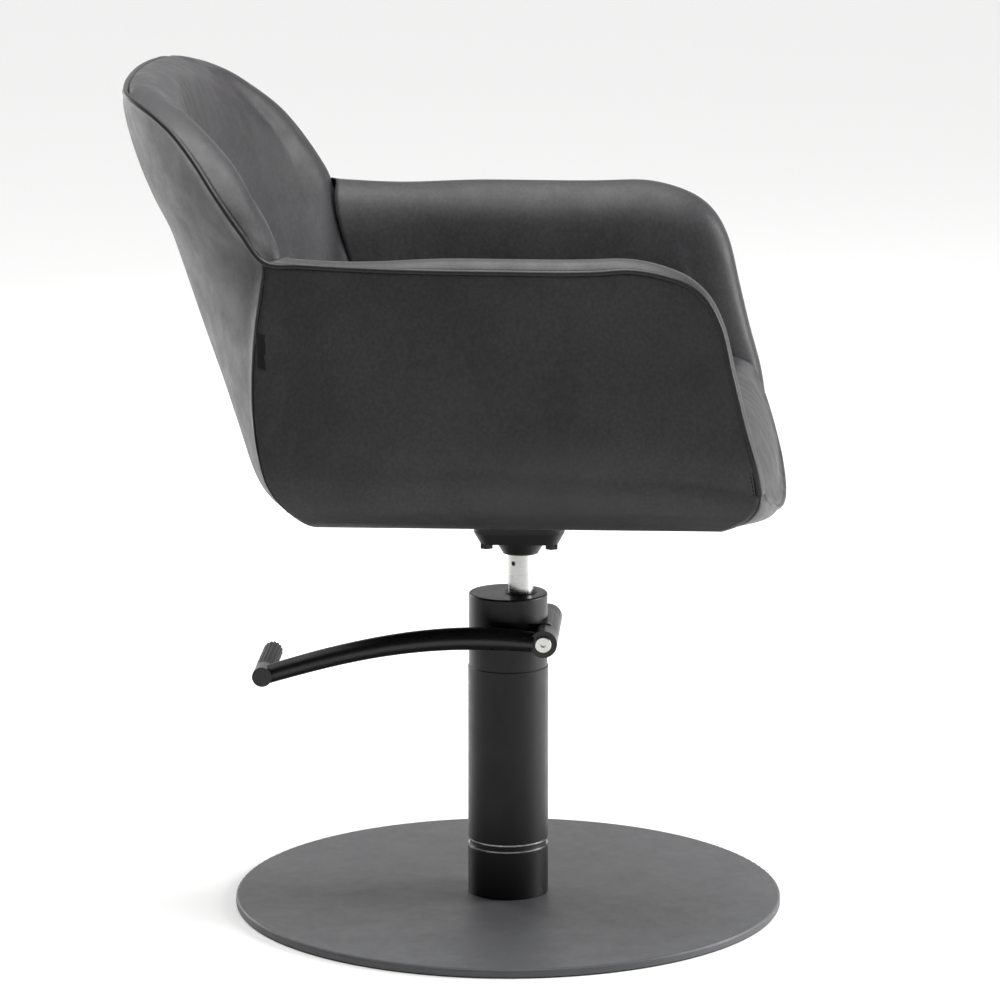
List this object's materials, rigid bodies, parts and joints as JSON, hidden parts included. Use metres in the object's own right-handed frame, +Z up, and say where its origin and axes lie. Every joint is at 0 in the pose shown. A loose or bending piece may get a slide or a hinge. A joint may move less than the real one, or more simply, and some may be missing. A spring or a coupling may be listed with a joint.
{
  "type": "salon styling chair",
  "caption": "Upholstered tub styling chair with piped rim on a foot-pumped hydraulic column and a flat round disc base; height, swivel and lever move.",
  "frame": {"origin": "centre of the base disc, on the floor under its rubber edging", "axes": "+Z up; the sitter faces -Y; the sitter's right hand, and the foot lever, are at -X"},
  "size_m": [0.607, 0.694, 0.893],
  "materials": {
    "base_paint": "matt dark grey powder coat with a fine texture",
    "edge_rubber": "matt black rubber",
    "pump_black": "satin black paint",
    "lever_black": "semi-gloss black paint",
    "bright_steel": "ground and polished steel",
    "zinc_steel": "zinc plated steel",
    "black_steel": "black oxide steel",
    "pump_iron": "machined grey iron",
    "bronze": "sintered bronze",
    "seal_rubber": "black nitrile rubber",
    "grip_rubber": "fluted black rubber",
    "charcoal_leather": "matt charcoal leather-look vinyl with a fine grain",
    "plywood": "birch plywood",
    "lining": "black non-woven lining",
    "tag_fabric": "black woven tape"
  },
  "bodies": {
    "pump": {"base_disc": "base_paint", "rubber_edge": "edge_rubber", "pump_foot": "pump_iron", "foot_bolts": "black_steel", "lower_collar": "pump_black", "trim_rings": "bright_steel", "groove_spacer": "black_steel", "column_sleeve": "pump_black", "pump_cylinder": "bright_steel", "tie_rods": "zinc_steel", "pump_block": "pump_iron", "check_balls": "bright_steel", "valve_seat": "bronze", "pump_cap": "pump_black", "rod_bush": "bronze", "rod_wiper": "seal_rubber", "axle_bushes": "bronze"},
    "lever": {"lever_arm": "lever_black", "lever_axle": "bright_steel", "axle_bolt": "zinc_steel", "axle_clip": "black_steel", "crank": "black_steel", "pedal_bar": "lever_black", "pedal_grip": "grip_rubber"},
    "plunger_body": {"plunger": "bright_steel", "plunger_spring": "zinc_steel"},
    "ram": {"ram_head": "bright_steel", "ram_seal": "seal_rubber", "thrust_ball": "bright_steel"},
    "seat": {"piston_rod": "bright_steel", "seat_hub": "black_steel", "seat_bracket": "black_steel", "hub_bolts": "black_steel", "hub_nuts": "black_steel", "bracket_bolts": "black_steel", "tee_nuts": "zinc_steel", "seat_board": "plywood", "under_cover": "lining", "back_shell": "plywood", "arm_frame_left": "plywood", "arm_frame_right": "plywood", "outer_back": "charcoal_leather", "inner_back": "charcoal_leather", "outer_arm_left": "charcoal_leather", "outer_arm_right": "charcoal_leather", "inner_arm_left": "charcoal_leather", "inner_arm_right": "charcoal_leather", "seat_cushion": "charcoal_leather", "rim_piping": "charcoal_leather", "front_piping": "charcoal_leather", "seam_tag": "tag_fabric"}
  },
  "joints": [
    {"name": "seat_height", "type": "slide", "parent": "pump", "child": "ram", "axis": [0, 0, 1], "range_m": [0, 0.15]},
    {"name": "seat_swivel", "type": "hinge", "parent": "ram", "child": "seat", "pos_m": [0, -0.013, 0.4], "axis": [0, 0, 1], "continuous": true},
    {"name": "foot_lever", "type": "hinge", "parent": "pump", "child": "lever", "pos_m": [0, -0.04, 0.294], "axis": [-1, 0, 0], "range_deg": [0, 30], "stiffness_Nm_per_rad": 6, "springref_deg": -34.38},
    {"name": "plunger_stroke", "type": "slide", "parent": "pump", "child": "plunger_body", "axis": [0, 0, -1], "range_m": [0, 0.012], "deforming": ["plunger_spring"]}
  ],
  "couplings": [
    {"joint": "plunger_stroke", "follows": "foot_lever", "m_per_rad": 0.022}
  ]
}
